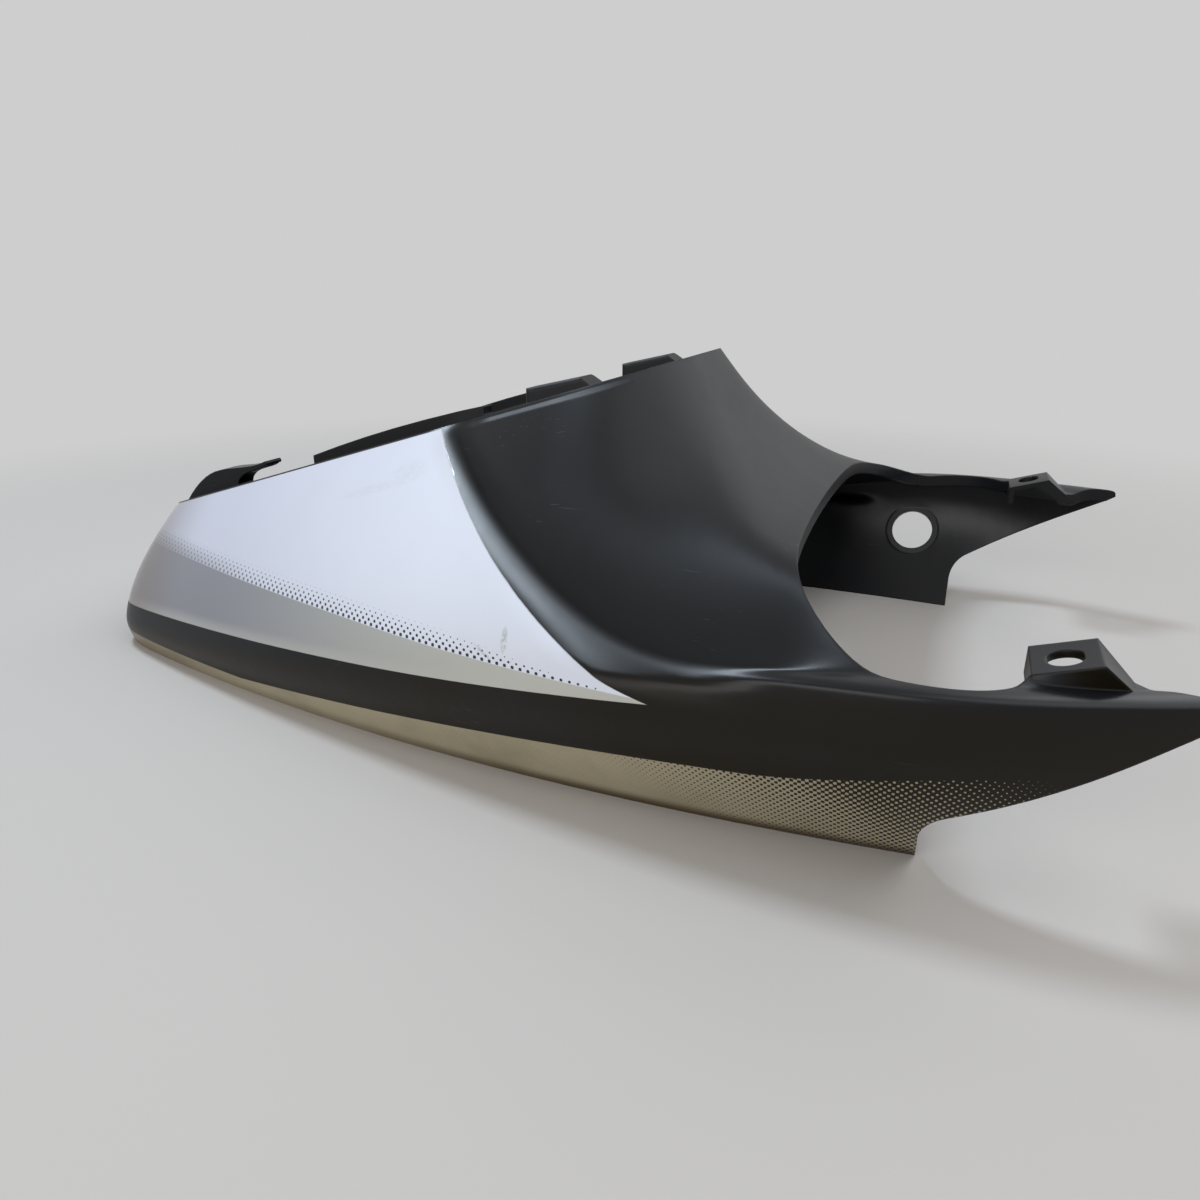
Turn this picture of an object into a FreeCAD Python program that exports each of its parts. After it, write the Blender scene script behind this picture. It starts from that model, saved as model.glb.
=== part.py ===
import FreeCAD
import Part
import math
import os

from FreeCAD import Vector

# Motorcycle tail fairing: one moulded plastic shell, open below, in front and on top.
# Millimetres. +X points to the front of the bike, +Y to its left side, +Z up.
# The origin is under the middle of the part, on the plane that the lower rim rests on.

# Length behind the lower front corner, the arms in front of it, and stations measured back from it
BODY_LENGTH = 469.5
ARM_REACH = 88.5
SEAT_BITE = 63.5
HUMP_FACE = 64.5
RIDGE_FOOT_BACK = 97.0
RIDGE_RUN = 140.0
RIDGE_POWER = 1.25
RIDGE_OVERRUN = 1.16
WIDEST_BACK = 105.0

# Wall and edges
WALL = 3.0
FLANGE_THICK = 3.0

# Lower rim, half widths
BASE_HALF = 154.0
BASE_TAIL_HALF = 98.0

# Chine, the widest line of the side: height and flare past the lower rim
CHINE_TAIL_Z = 17.0
CHINE_NOSE_Z = 72.0
FLARE_TAIL = 4.0
FLARE_NOSE = 34.5
FLARE_POWER = 1.6
ARM_TOE_IN = 26.0
TOE_POWER = 1.3

# Sloping top with the passenger seat opening
TOP_HALF = 90.0
TOP_TAIL_HALF = 80.0
HUMP_TOP_Z = 171.5
TOP_SLOPE_DEG = 16.7

# Rounded tail end
TAIL_ROUND = 32.0
TAIL_SQUARENESS = 3.8
TAIL_RAKE = 20.0
RAKE_POWER = 1.3

# Rounded ridge between the painted panel and the scooped face, and the ledge inside it
CREST_RISE = 0.085
CREST_WIDTH = 8.0
CREST_ARM_WIDTH = 6.0
CREST_PROUD = 1.0
LEDGE_WIDTH = 13.0
LEDGE_ARM_WIDTH = 6.0
LEDGE_DROP = 7.0
LEDGE_FADE = 25.0

# Rise of the scooped face from its shoulders to the centre line
CROWN = 4.0

# Fullness of the side section below and above the chine
LOWER_FULLNESS = 0.62
UPPER_FULLNESS = 0.40

# Lower edge of the arms
ARM_EDGE_DEG = 31.4
ARM_EDGE_ROUND = 18.0
TIP_Z = 79.5

# Flange round the passenger seat opening
FLANGE_FRONT = 34.0
FLANGE_BACK = 62.0
FLANGE_SIDE = 30.0
OPENING_ROUND = 18.0

# Tail lamp window
LAMP_WIDTH = 116.0
LAMP_HEIGHT = 30.0
LAMP_SILL_Z = 24.0
LAMP_ROUND = 8.0

# Rider's seat cut-out: its floor below the chine, and the lip turned down along its edge
SEAT_CUT_BELOW = 10.0
LIP_DEPTH = 7.0
LIP_THICK = 3.0

# Seat lock on the left side, square to the leaning wall
LOCK_BACK = 27.5
LOCK_Z = 41.0
LOCK_TILT_DEG = 25.0
LOCK_RADIUS = 13.0
LOCK_SEAT_RADIUS = 17.0
LOCK_SEAT_PROUD = 1.5

# Fixing lugs on the arms, open towards the seat
LUG_START = 27.5
LUG_LENGTH = 21.0
LUG_GUSSET = 18.0
LUG_TAPER = 14.0
LUG_INNER = 134.0
LUG_OUTER = 160.0
LUG_FLARE = 6.0
LUG_Z = 85.0
LUG_DEPTH = 10.0
LUG_SLOT_IN = 14.5
LUG_SLOT_LENGTH = 14.0
LUG_SLOT_WIDTH = 11.0

# Seat pads on the flange
PAD_BACK = 70.5
PAD_LENGTH = 28.0
PAD_RUN_OUT = 7.0
PAD_OUT = 73.0
PAD_WIDTH = 16.0
PAD_RISE = 7.0
PAD_FRONT_RISE = 5.0
PAD_ROUND = 2.0

# Edge beads on the flange
BEAD_BACK = 139.0
BEAD_LENGTH = 107.0
BEAD_OUT = 68.0
BEAD_WIDTH = 8.0
BEAD_RISE = 6.5
BEAD_END_RISE = 4.5

# Rear hook on the right of the flange
HOOK_BACK = 40.0
HOOK_CREST = 23.5
HOOK_NECK = 42.0
HOOK_LENGTH = 63.0
HOOK_RISE = 11.4
HOOK_TIP_RISE = 9.0
HOOK_FINGER = 2.5
HOOK_OUT = 66.0
HOOK_WIDTH = 12.0

# Lengths by which cutters pass the form
RUN_ON = 8.0
REACH = 150.0

# Stations of the design surface
FRONT_MARGIN = 14.0
FRONT_COLUMNS = 13
FLANK_COLUMNS = 3
TAIL_COLUMNS = 5

TIP_X = (BODY_LENGTH + ARM_REACH) / 2
TAIL_X = TIP_X - BODY_LENGTH - ARM_REACH
CORNER_X = TIP_X - ARM_REACH
SEAT_X = CORNER_X - SEAT_BITE
HUMP_X = SEAT_X - HUMP_FACE
FOOT_X = CORNER_X - RIDGE_FOOT_BACK
RIDGE_TOP_X = FOOT_X - RIDGE_RUN
WIDEST_X = CORNER_X - WIDEST_BACK
FRONT_X = TIP_X + FRONT_MARGIN
TOP_SLOPE = math.tan(math.radians(TOP_SLOPE_DEG))
ACROSS = Vector(0, 1, 0)
PANEL_ROWS = (0.42, 0.78)
RAMP_ROWS = (0.3, 0.65, 1.0)
RAMP_LIMIT = 0.8
CREST_ROW = 4 + len(PANEL_ROWS)
ROOF_LEAN = 8.0

# Height of the scooped face on the centre line, by station
SPINE = (
    (TAIL_X, 118.0),
    (RIDGE_TOP_X, 190.0),
    (HUMP_X - 45.0, 214.0),
    (HUMP_X - 18.0, 198.0),
    (HUMP_X, HUMP_TOP_Z),
    (HUMP_X + 14.0, 149.0),
    (HUMP_X + 30.0, 129.0),
    (HUMP_X + 48.0, 114.0),
    (SEAT_X, 103.0),
    (SEAT_X + 24.0, 96.0),
    (CORNER_X, 91.0),
    (CORNER_X + 30.0, 88.0),
    (CORNER_X + 58.0, 86.0),
    (TIP_X, 80.0),
    (FRONT_X, 78.0),
)

# Width of the slope from the ledge up to the flat of the scooped face, by station
RAMP = (
    (TAIL_X, 60.0),
    (RIDGE_TOP_X, 70.0),
    (HUMP_X - 30.0, 118.0),
    (HUMP_X, 128.0),
    (HUMP_X + 28.0, 100.0),
    (HUMP_X + 48.0, 66.0),
    (SEAT_X, 52.0),
    (SEAT_X + 24.0, 26.0),
    (SEAT_X + 44.0, 13.0),
    (CORNER_X, 9.0),
    (FRONT_X, 8.0),
)


def follow(stations, x):
    """Height of a smooth curve through the stations, straight beyond its ends."""
    last = len(stations) - 1

    def slope(k):
        before = stations[max(k - 1, 0)]
        after = stations[min(k + 1, last)]
        return (after[1] - before[1]) / (after[0] - before[0])

    if x <= stations[0][0]:
        return stations[0][1] + slope(0) * (x - stations[0][0])
    if x >= stations[last][0]:
        return stations[last][1] + slope(last) * (x - stations[last][0])
    k = max(i for i in range(last) if stations[i][0] <= x)
    x0, z0 = stations[k]
    x1, z1 = stations[k + 1]
    span = x1 - x0
    t = (x - x0) / span
    value = (1 + 2 * t) * (1 - t) ** 2 * z0 + t * t * (3 - 2 * t) * z1
    return value + span * t * (1 - t) * ((1 - t) * slope(k) - t * slope(k + 1))


def clamp(value, low, high):
    """Value kept between two limits."""
    return max(low, min(high, value))


def top_plane(x):
    """Height of the sloping top at station x."""
    return HUMP_TOP_Z + TOP_SLOPE * (x - HUMP_X)


def base_half(x):
    """Half width of the lower rim."""
    away = (x - WIDEST_X) / (TAIL_X - WIDEST_X)
    return BASE_HALF - (BASE_HALF - BASE_TAIL_HALF) * away ** 2


def chine(x):
    """Half width and height of the widest line of the side."""
    share = clamp((x - TAIL_X) / (CORNER_X - TAIL_X), 0.0, 1.0)
    height = CHINE_TAIL_Z + (CHINE_NOSE_Z - CHINE_TAIL_Z) * share ** 2 * (3 - 2 * share)
    flare = FLARE_TAIL + (FLARE_NOSE - FLARE_TAIL) * share ** FLARE_POWER
    half = base_half(min(x, CORNER_X)) + flare
    toe = clamp((x - CORNER_X) / ARM_REACH, 0.0, 2.0)
    return half - ARM_TOE_IN * toe ** TOE_POWER, height


def top_half(x):
    """Half width of the painted panel where it meets the sloping top."""
    away = (x - RIDGE_TOP_X) / (TAIL_X - RIDGE_TOP_X)
    return TOP_HALF - (TOP_HALF - TOP_TAIL_HALF) * away ** 2


def upper_side(x, r):
    """Point of the painted panel between the chine (r = 0) and the sloping top (r = 1)."""
    wide, low = chine(x)
    rise = top_plane(x) - low
    half = wide - r * r * (wide - top_half(x))
    return half, low + rise * (2 * r * (1 - r) * UPPER_FULLNESS + r * r)


def ridge_share(x):
    """Share of the painted panel below the ridge, past 1 where the panel reaches the top."""
    back = max(0.0, (FOOT_X - x) / RIDGE_RUN)
    return min(CREST_RISE + (1 - CREST_RISE) * back ** RIDGE_POWER, RIDGE_OVERRUN)


def section(x):
    """Half section of the outside at station x, from the lower rim up and in to the centre."""
    wide, height = chine(x)
    points = [(base_half(x), 0.0), (wide, height * LOWER_FULLNESS), (wide, height)]
    share = ridge_share(x)
    points += [upper_side(x, share * k) for k in PANEL_ROWS]
    crest_y, crest_z = upper_side(x, share)
    on_face = clamp((x - RIDGE_TOP_X) / LEDGE_FADE, 0.0, 1.0)
    near_arm = clamp((x - FOOT_X + LEDGE_FADE) / (CORNER_X - FOOT_X), 0.0, 1.0)
    crest_width = CREST_WIDTH + (CREST_ARM_WIDTH - CREST_WIDTH) * near_arm
    ledge_width = LEDGE_WIDTH + (LEDGE_ARM_WIDTH - LEDGE_WIDTH) * near_arm
    drop = LEDGE_DROP * (1 - near_arm) * on_face
    points.append((crest_y, crest_z))
    points.append((crest_y - crest_width, crest_z + CREST_PROUD))
    foot_y, foot_z = crest_y - crest_width - ledge_width, crest_z - drop
    points.append((foot_y, foot_z))
    ramp = min(follow(RAMP, x), RAMP_LIMIT * foot_y)
    peak = follow(SPINE, x)
    shoulder = peak - CROWN
    for r in RAMP_ROWS:
        lift = 0.5 * r * r * (3 - 2 * r) + 0.5 * r * (2 - r)
        points.append((foot_y - ramp * r, foot_z + (shoulder - foot_z) * lift))
    rest = foot_y - ramp
    points += [(rest * k, peak) for k in (0.5, 0.0)]
    return points


def columns():
    """Stations of the half surface from the front end round to the tail's centre line."""
    shoulder = RIDGE_TOP_X - 20.0
    start = TAIL_X + TAIL_ROUND
    listed = [(FRONT_X + (shoulder - FRONT_X) * k / FRONT_COLUMNS, 1.0) for k in range(FRONT_COLUMNS)]
    listed += [(shoulder + (start - shoulder) * k / FLANK_COLUMNS, 1.0) for k in range(FLANK_COLUMNS)]
    power = 2.0 / TAIL_SQUARENESS
    for k in range(TAIL_COLUMNS + 1):
        angle = math.pi / 2 * (1 - k / TAIL_COLUMNS)
        cosine = max(math.cos(angle), 0.0)
        sine = max(math.sin(angle), 0.0)
        listed.append((TAIL_X + TAIL_ROUND * (1 - cosine ** power), sine ** power))
    return listed


def skin_poles():
    """Grid of control points of the right half: columns front to tail, rows rim to centre."""
    shoulder = RIDGE_TOP_X - 20.0
    grid = []
    for x, narrow in columns():
        lean = clamp((shoulder - x) / (shoulder - TAIL_X - TAIL_ROUND), 0.0, 1.0) ** 2
        column = []
        for row, (half, height) in enumerate(section(x)):
            level = clamp((height - CHINE_TAIL_Z) / (top_plane(TAIL_X) - CHINE_TAIL_Z), 0.0, 1.3)
            roof = max(0, row - CREST_ROW)
            rake = (TAIL_RAKE * level ** RAKE_POWER + ROOF_LEAN * roof) * lean
            column.append(Vector(x + rake, -half * narrow, height))
        grid.append(column)
    return grid


def cubic_face(poles):
    """Smooth face over a grid of control points."""
    def knots(count):
        inner = count - 3
        return [4] + [1] * (inner - 1) + [4], [float(k) for k in range(inner + 1)]

    u_mults, u_knots = knots(len(poles))
    v_mults, v_knots = knots(len(poles[0]))
    surface = Part.BSplineSurface()
    surface.buildFromPolesMultsKnots(
        poles, u_mults, v_mults, u_knots, v_knots, False, False, 3, 3)
    return surface


def half_dome(poles):
    """Right half of the closed form: the skin with flat caps below, in front and in the middle."""
    surface = cubic_face(poles)
    skin = surface.toShape()
    u0, u1, v0, v1 = surface.bounds()
    rim = surface.vIso(v0).toShape()
    spine = surface.vIso(v1).toShape()
    nose = surface.uIso(u0).toShape()
    tail = surface.uIso(u1).toShape()
    low = poles[0][0]
    high = poles[0][-1]
    end = poles[-1][0]
    middle = Vector(low.x, 0, low.z)
    across = Part.makeLine(low, middle)
    along = Part.makeLine(middle, end)
    up = Part.makeLine(middle, high)
    caps = [(rim, across, along), (nose, across, up), (spine, tail, along, up)]
    faces = [Part.Face(Part.Wire(Part.__sortEdges__(list(edges)))) for edges in caps]
    shell = Part.Shell([skin] + faces)
    shell.sewShape()
    solid = Part.Solid(shell)
    if solid.Volume < 0:
        solid.reverse()
    return solid


def both_sides(half):
    """Right half joined to its mirror image."""
    return half.fuse(half.mirror(Vector(0, 0, 0), Vector(0, 1, 0)))


def inward_poles(poles, wall):
    """Control points of the inside face: the outside moved in by the wall, run on past the rims."""
    count = len(poles)
    rows = len(poles[0])

    def at(j, i):
        return poles[clamp(j, 0, count - 1)][clamp(i, 0, rows - 1)]

    grid = []
    for j in range(count):
        column = []
        for i in range(rows):
            along = at(j + 1, i) - at(j - 1, i)
            up = at(j, i + 2) - at(j, i - 2)
            if j == count - 1:
                along = ACROSS
            elif i == rows - 1:
                up = ACROSS
            normal = along.cross(up).normalize()
            p = poles[j][i] + normal * wall
            column.append(Vector(p.x, min(p.y, 0.0), p.z))
        if j == count - 1:
            column = [Vector(p.x, 0, p.z) for p in column]
        column[-1] = Vector(column[-1].x, 0, column[-1].z)
        low, above = column[0], column[1]
        run = (low.z + RUN_ON) / (above.z - low.z)
        column.insert(0, low + (low - above) * run)
        if j == 0:
            column = [Vector(FRONT_X + RUN_ON, p.y, p.z) for p in column]
        grid.append(column)
    return grid


def side_prism(outline, y0, y1):
    """Solid of an outline in the side view, between two distances from the middle."""
    points = [Vector(x, y0, z) for x, z in outline]
    face = Part.Face(Part.makePolygon(points + points[:1]))
    return face.extrude(Vector(0, y1 - y0, 0))


def above_top(drop):
    """Everything above the sloping top, lowered by a drop square to it."""
    fall = drop * math.sqrt(1 + TOP_SLOPE ** 2)
    ends = (TAIL_X - REACH, FRONT_X + REACH)
    outline = [(x, top_plane(x) - fall) for x in ends]
    outline += [(x, top_plane(ends[1]) + REACH) for x in reversed(ends)]
    return side_prism(outline, -2 * REACH, 2 * REACH)


def mirrored(shape):
    """The same feature on the other side."""
    return shape.mirror(Vector(0, 0, 0), Vector(0, 1, 0))


def plan_prism(half_outline, floor):
    """Upright cutter over a smooth half outline from the middle to the front, and its mirror image."""
    right = [Vector(x, -y, floor) for x, y in half_outline]
    left = [Vector(x, y, floor) for x, y in reversed(half_outline[1:])]
    curve = Part.BSplineCurve()
    curve.interpolate(left + right)
    edges = [curve.toShape(), Part.makeLine(right[-1], left[0])]
    return Part.Face(Part.Wire(edges)).extrude(Vector(0, 0, 2 * REACH))


def seat_outline():
    """Half outline of the rider's seat cut-out: a wide U open to the front, with the arms outside it."""
    return [
        (SEAT_X, 0.0),
        (SEAT_X + 1.0, 69.0),
        (SEAT_X + 6.5, 118.0),
        (SEAT_X + 23.5, 152.5),
        (SEAT_X + 43.5, 170.0),
        (CORNER_X, 175.0),
        (CORNER_X + 17.0, 171.0),
        (CORNER_X + 26.0, 161.0),
        (CORNER_X + 31.0, 150.0),
        (CORNER_X + 45.0, 141.0),
        (CORNER_X + 60.0, 145.0),
        (TIP_X - 16.0, 153.7),
        (TIP_X + 2.0, 157.63),
        (FRONT_X + RUN_ON, 163.5),
    ]


def grown(half_outline, thick):
    """Half outline moved out by a thickness, square to itself at each point."""
    count = len(half_outline)
    moved = [(half_outline[0][0] - thick, 0.0)]
    for k in range(1, count):
        before = half_outline[k - 1]
        after = half_outline[min(k + 1, count - 1)]
        along = Vector(after[0] - before[0], after[1] - before[1], 0).normalize()
        x, y = half_outline[k]
        moved.append((x - along.y * thick, y + along.x * thick))
    return moved


def lip_room(outer):
    """What stays full for the lip round the rider's seat cut-out, down to the lip's depth."""
    floor = CHINE_NOSE_Z - SEAT_CUT_BELOW
    ring = plan_prism(grown(seat_outline(), LIP_THICK), floor).cut(plan_prism(seat_outline(), floor))
    return ring.cut(outer.translated(Vector(0, 0, -LIP_DEPTH)))


def arm_cut():
    """What is cut away below the arms: an upright corner rounded into a rising lower edge."""
    slope = math.tan(math.radians(ARM_EDGE_DEG))
    turn = math.radians(90.0 - ARM_EDGE_DEG)
    reach = ARM_EDGE_ROUND * math.tan(turn / 2)
    bend_z = TIP_Z - slope * ARM_REACH
    start = Vector(CORNER_X, -2 * REACH, bend_z - reach)
    rise = math.radians(ARM_EDGE_DEG)
    end = Vector(CORNER_X + reach * math.cos(rise), -2 * REACH, bend_z + reach * math.sin(rise))
    middle_turn = math.pi - turn / 2
    centre = Vector(CORNER_X + ARM_EDGE_ROUND, -2 * REACH, start.z)
    spoke = Vector(math.cos(middle_turn), 0, math.sin(middle_turn)) * ARM_EDGE_ROUND
    far = Vector(FRONT_X + REACH, -2 * REACH, end.z + slope * (FRONT_X + REACH - end.x))
    low_far = Vector(far.x, far.y, -REACH)
    low = Vector(CORNER_X, far.y, -REACH)
    edges = [
        Part.makeLine(low, start),
        Part.Arc(start, centre + spoke, end).toShape(),
        Part.makeLine(end, far),
        Part.makeLine(far, low_far),
        Part.makeLine(low_far, low),
    ]
    return Part.Face(Part.Wire(edges)).extrude(Vector(0, 4 * REACH, 0))


def rounded_prism(points, radius, rise):
    """Prism over an outline, with its upright edges rounded."""
    solid = Part.Face(Part.makePolygon(points + points[:1])).extrude(rise)
    upright = [e for e in solid.Edges if abs(e.tangentAt(e.FirstParameter).dot(rise)) > 0.99 * rise.Length]
    return solid.makeFillet(radius, upright)


def passenger_cut():
    """Opening of the sloping top, inside its flange."""
    front = HUMP_X - FLANGE_FRONT
    back = TAIL_X + FLANGE_BACK
    half_front = TOP_HALF - FLANGE_SIDE
    half_back = TOP_TAIL_HALF - FLANGE_SIDE
    floor = top_plane(TAIL_X) - REACH / 3
    corners = [(front, -half_front), (front, half_front), (back, half_back), (back, -half_back)]
    points = [Vector(x, y, floor) for x, y in corners]
    return rounded_prism(points, OPENING_ROUND, Vector(0, 0, 2 * REACH))


def lamp_cut():
    """Window for the tail lamp in the rear wall."""
    half = LAMP_WIDTH / 2
    low = LAMP_SILL_Z
    high = LAMP_SILL_Z + LAMP_HEIGHT
    corners = [(-half, low), (half, low), (half, high), (-half, high)]
    points = [Vector(TAIL_X - RUN_ON, y, z) for y, z in corners]
    return rounded_prism(points, LAMP_ROUND, Vector(RUN_ON + TAIL_RAKE + 3 * WALL, 0, 0))


def lock_axis():
    """Direction of the seat lock, out through the left wall."""
    tilt = math.radians(LOCK_TILT_DEG)
    return Vector(0, math.cos(tilt), -math.sin(tilt))


def lock_place(outer):
    """Middle of the seat lock's hole, on the outside of the left wall."""
    x = CORNER_X - LOCK_BACK
    ray = Part.makeLine(Vector(x, 0, LOCK_Z), Vector(x, 2 * REACH, LOCK_Z))
    return max((v.Point for v in ray.common(outer).Vertexes), key=lambda point: point.y)


def lock_seat(outer):
    """Round seat for the lock, a little proud of the wall inside and flush with it outside."""
    axis = lock_axis()
    foot = lock_place(outer) - axis * (WALL + LOCK_SEAT_PROUD)
    return Part.makeCylinder(LOCK_SEAT_RADIUS, REACH, foot, axis).common(outer)


def lock_hole(outer):
    """Round hole for the seat lock through the left side only."""
    axis = lock_axis()
    return Part.makeCylinder(LOCK_RADIUS, REACH, lock_place(outer) - axis * (REACH / 2), axis)


def lug_plane(x):
    """Height of the lug's sloping plate at station x."""
    return LUG_Z + TOP_SLOPE * (x - CORNER_X - LUG_START)


def lug_form(inset, inner, low):
    """Lug on the right arm, spreading down from its plate, or the hollow under it when inset."""
    back = CORNER_X + LUG_START + inset
    front = CORNER_X + LUG_START + LUG_LENGTH - inset
    outer = LUG_OUTER - inset
    foot = front + LUG_GUSSET
    plate = [(back, inner), (front, inner), (front, outer), (back, outer)]
    base = [(back, inner), (foot, inner + LUG_TAPER), (foot, outer - LUG_FLARE), (back, outer + LUG_FLARE)]
    top = [Vector(x, -y, lug_plane(x) - inset) for x, y in plate]
    bottom = [Vector(x, -y, low) for x, y in base]
    wires = [Part.makePolygon(points + points[:1]) for points in (bottom, top)]
    return Part.makeLoft(wires, True, True)


def lug_slot():
    """Round-ended fixing slot across the right lug."""
    middle = Vector(CORNER_X + LUG_START + LUG_LENGTH / 2, -LUG_INNER - LUG_SLOT_IN, LUG_Z - REACH / 3)
    half = (LUG_SLOT_LENGTH - LUG_SLOT_WIDTH) / 2
    radius = LUG_SLOT_WIDTH / 2
    bar = Part.makeBox(LUG_SLOT_WIDTH, 2 * half, REACH, middle - Vector(radius, half, 0))
    ends = [Part.makeCylinder(radius, REACH, middle + ACROSS * (way * half)) for way in (-1, 1)]
    return bar.fuse(ends)


def over_top(x, rise):
    """Point of the middle plane at station x, raised above the sloping top."""
    return Vector(x, 0, top_plane(x) + rise)


def smooth_edge(points):
    """Edge of a smooth curve through the points."""
    curve = Part.BSplineCurve()
    curve.interpolate(points)
    return curve.toShape()


def standing_on_top(side_edges, out, width):
    """Solid of a side view that stands on the flange, from a distance out towards the middle."""
    side = Part.Face(Part.Wire(side_edges))
    side.translate(ACROSS * -out)
    return side.extrude(ACROSS * width)


def seat_pad():
    """Pad beside the front of the seat opening, on the right, with its long upper edges rounded."""
    sink = -FLANGE_THICK / 2
    back = HUMP_X - PAD_BACK
    front = back + PAD_LENGTH
    toe = front + PAD_RUN_OUT
    corners = [
        over_top(back, sink),
        over_top(back, PAD_RISE),
        over_top(front, PAD_FRONT_RISE),
        over_top(toe, sink),
    ]
    pad = standing_on_top(Part.makePolygon(corners + corners[:1]).Edges, PAD_OUT, PAD_WIDTH)
    rounded = []
    for edge in pad.Edges:
        middle = edge.CenterOfMass
        across = abs(edge.Vertexes[0].Y - edge.Vertexes[-1].Y) > PAD_WIDTH / 2
        if middle.z > top_plane(middle.x) + PAD_ROUND and not across:
            rounded.append(edge)
    return pad.makeFillet(PAD_ROUND, rounded)


def edge_bead():
    """Arched bead along the edge of the seat opening's flange, on the right."""
    sink = -FLANGE_THICK / 2
    start = TAIL_X + BEAD_BACK
    end = start + BEAD_LENGTH
    foot_start = over_top(start, sink)
    foot_end = over_top(end, sink)
    high_start = over_top(start, BEAD_END_RISE)
    high_end = over_top(end, BEAD_END_RISE)
    edges = [
        Part.makeLine(foot_start, high_start),
        Part.Arc(high_start, over_top((start + end) / 2, BEAD_RISE), high_end).toShape(),
        Part.makeLine(high_end, foot_end),
        Part.makeLine(foot_end, foot_start),
    ]
    return standing_on_top(edges, BEAD_OUT, BEAD_WIDTH)


def hook():
    """Hook near the right rear corner of the flange, with a finger pointing forward."""
    foot = TAIL_X + HOOK_BACK
    tip = foot + HOOK_LENGTH
    neck = foot + HOOK_NECK
    crest = foot + HOOK_CREST
    sink = -FLANGE_THICK / 2
    back = [
        over_top(foot, sink),
        over_top((foot + crest) / 2, HOOK_RISE * 0.65),
        over_top(crest, HOOK_RISE),
        over_top(neck, HOOK_RISE * 0.87),
        over_top(tip, HOOK_TIP_RISE),
    ]
    under = [
        over_top(tip, HOOK_TIP_RISE - HOOK_FINGER),
        over_top((tip + neck) / 2, HOOK_RISE * 0.48),
        over_top(neck + WALL, HOOK_RISE * 0.38),
        over_top(neck, HOOK_RISE * 0.12),
        over_top(neck, sink),
    ]
    nose = over_top(tip + HOOK_FINGER / 2, HOOK_TIP_RISE - HOOK_FINGER / 2)
    edges = [
        smooth_edge(back),
        Part.Arc(back[-1], nose, under[0]).toShape(),
        smooth_edge(under),
        Part.makeLine(under[-1], back[0]),
    ]
    return standing_on_top(edges, HOOK_OUT, HOOK_WIDTH)


def tail_fairing():
    """The whole shell."""
    outside = skin_poles()
    outer = both_sides(half_dome(outside)).cut(above_top(0.0))
    inner = both_sides(half_dome(inward_poles(outside, WALL)))
    inner = inner.cut([above_top(FLANGE_THICK), lip_room(outer)])
    seat_cut = plan_prism(seat_outline(), CHINE_NOSE_Z - SEAT_CUT_BELOW)
    shell = outer.cut(inner)
    shell = shell.cut([seat_cut, arm_cut(), passenger_cut(), lamp_cut()])
    lug = lug_form(0.0, LUG_INNER, LUG_Z - LUG_DEPTH)
    added = [lug, seat_pad(), edge_bead()]
    added += [mirrored(piece) for piece in added]
    shell = shell.fuse(added + [hook(), lock_seat(outer)])
    hollow = lug_form(WALL, LUG_INNER - RUN_ON, LUG_Z - LUG_DEPTH - RUN_ON)
    slot = lug_slot()
    return shell.cut([hollow, mirrored(hollow), slot, mirrored(slot), lock_hole(outer)])


os.makedirs("parts", exist_ok=True)
tail_fairing().exportStep("parts/tail_fairing.step")
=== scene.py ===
"""Dresses the motorcycle tail fairing: satin black moulding, white side panels and halftone fades."""
import logging
from dataclasses import dataclass
from enum import Enum
from typing import Any, Union

import bpy
import numpy as np
from mathutils import Matrix, Vector


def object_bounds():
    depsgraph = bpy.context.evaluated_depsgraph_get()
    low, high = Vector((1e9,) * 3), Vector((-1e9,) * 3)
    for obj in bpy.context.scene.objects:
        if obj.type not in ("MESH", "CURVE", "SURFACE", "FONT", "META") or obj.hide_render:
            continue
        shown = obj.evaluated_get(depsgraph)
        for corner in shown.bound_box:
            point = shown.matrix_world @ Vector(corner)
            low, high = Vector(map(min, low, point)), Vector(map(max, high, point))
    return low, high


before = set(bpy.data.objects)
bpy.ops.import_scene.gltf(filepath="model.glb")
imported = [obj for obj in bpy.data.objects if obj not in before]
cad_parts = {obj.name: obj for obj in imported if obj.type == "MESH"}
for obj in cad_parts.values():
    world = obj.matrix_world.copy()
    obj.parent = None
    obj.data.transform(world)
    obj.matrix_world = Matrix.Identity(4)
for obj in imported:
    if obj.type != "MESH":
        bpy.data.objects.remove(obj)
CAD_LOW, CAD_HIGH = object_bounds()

LOG = logging.getLogger("tail_fairing")

SHELL = "tail_fairing"
MM = 0.001
NOISE_ROUGHNESS = 0.55

Number = Union[int, float]
Colour = tuple[float, float, float]
Point = tuple[float, float, float]
# A span is where a smooth step starts and ends, and a curve is a parabola's base, slope and bow.
Span = tuple[float, float]
Curve = tuple[float, float, float]

OLIVE_BLACK: Colour = (0.0085, 0.0062, 0.0028)


class Mixed(Enum):
    """What a Mix node blends: its data type, its first input and its output."""

    COLOUR = ("RGBA", 6, 2)
    VECTOR = ("VECTOR", 4, 1)


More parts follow.
